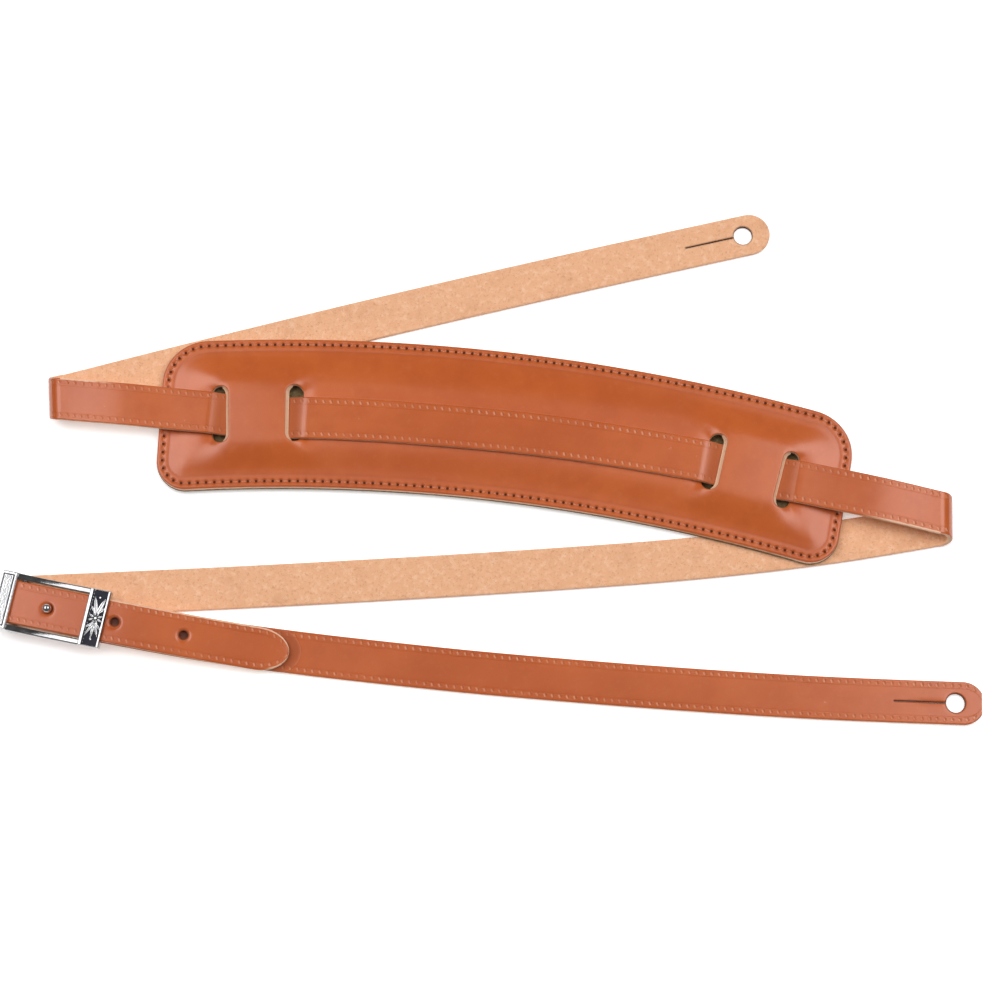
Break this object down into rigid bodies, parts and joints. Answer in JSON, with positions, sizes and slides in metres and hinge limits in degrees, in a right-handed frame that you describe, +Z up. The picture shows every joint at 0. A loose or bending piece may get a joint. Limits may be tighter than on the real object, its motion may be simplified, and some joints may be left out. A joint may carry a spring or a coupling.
{
  "type": "guitar strap",
  "caption": "Narrow leather guitar strap laid in a Z, with a slotted padded shoulder piece that slides on it, button-hole ends and a stud buckle.",
  "frame": {"origin": "middle of the lay, on the surface that the strap lies on", "axes": "+X along the lay towards the right folds and the short strap's button hole, +Y across the lay towards the long strap's button hole, +Z up"},
  "size_m": [0.3642, 0.1959, 0.0126],
  "materials": {
    "smooth_leather": "orange-brown full-grain leather, semi-gloss",
    "pad_leather": "orange-brown full-grain leather with soft sheen",
    "suede": "olive-brown suede",
    "foam": "dense foam",
    "thread": "waxed thread",
    "chrome": "polished chrome plate"
  },
  "bodies": {
    "root": {"long_strap_left_span": "smooth_leather", "long_strap_weave": "smooth_leather", "long_strap_right_span": "smooth_leather", "long_strap_left_fold": "smooth_leather", "long_strap_right_fold": "smooth_leather"},
    "pad": {"pad_face": "pad_leather", "pad_padding": "foam", "pad_backing": "suede", "pad_seam_thread": "thread"},
    "end_strand": {"long_strap_end": "smooth_leather"},
    "return_strand": {"long_strap_return": "smooth_leather", "long_strap_buckle_fold": "smooth_leather"},
    "buckle": {"long_strap_tail": "smooth_leather", "short_strap": "smooth_leather", "buckle_frame": "chrome", "buckle_end_plate": "chrome", "buckle_keeper": "chrome", "buckle_bar": "chrome", "stud_post": "chrome", "stud_screw": "chrome"}
  },
  "joints": [
    {"name": "pad_slide", "type": "slide", "parent": "root", "child": "pad", "axis": [0.993, -0.1184, 0], "range_m": [-0.025, 0.025], "deforming": ["long_strap_weave"]},
    {"name": "left_fold", "type": "hinge", "parent": "root", "child": "end_strand", "pos_m": [-0.16, 0.025, 0.00525], "axis": [-0.0698, 0.9976, 0], "range_deg": [0, 180], "deforming": ["long_strap_left_fold"]},
    {"name": "right_fold", "type": "hinge", "parent": "root", "child": "return_strand", "pos_m": [0.1666, -0.0217, 0.00525], "axis": [-0.0349, -0.9994, 0], "range_deg": [0, 180], "deforming": ["long_strap_right_fold"]},
    {"name": "buckle_fold", "type": "hinge", "parent": "return_strand", "child": "buckle", "pos_m": [-0.1741, -0.052, 0.0052], "axis": [-0.0837, -0.9965, 0], "range_deg": [0, 120], "deforming": ["long_strap_buckle_fold"]}
  ]
}
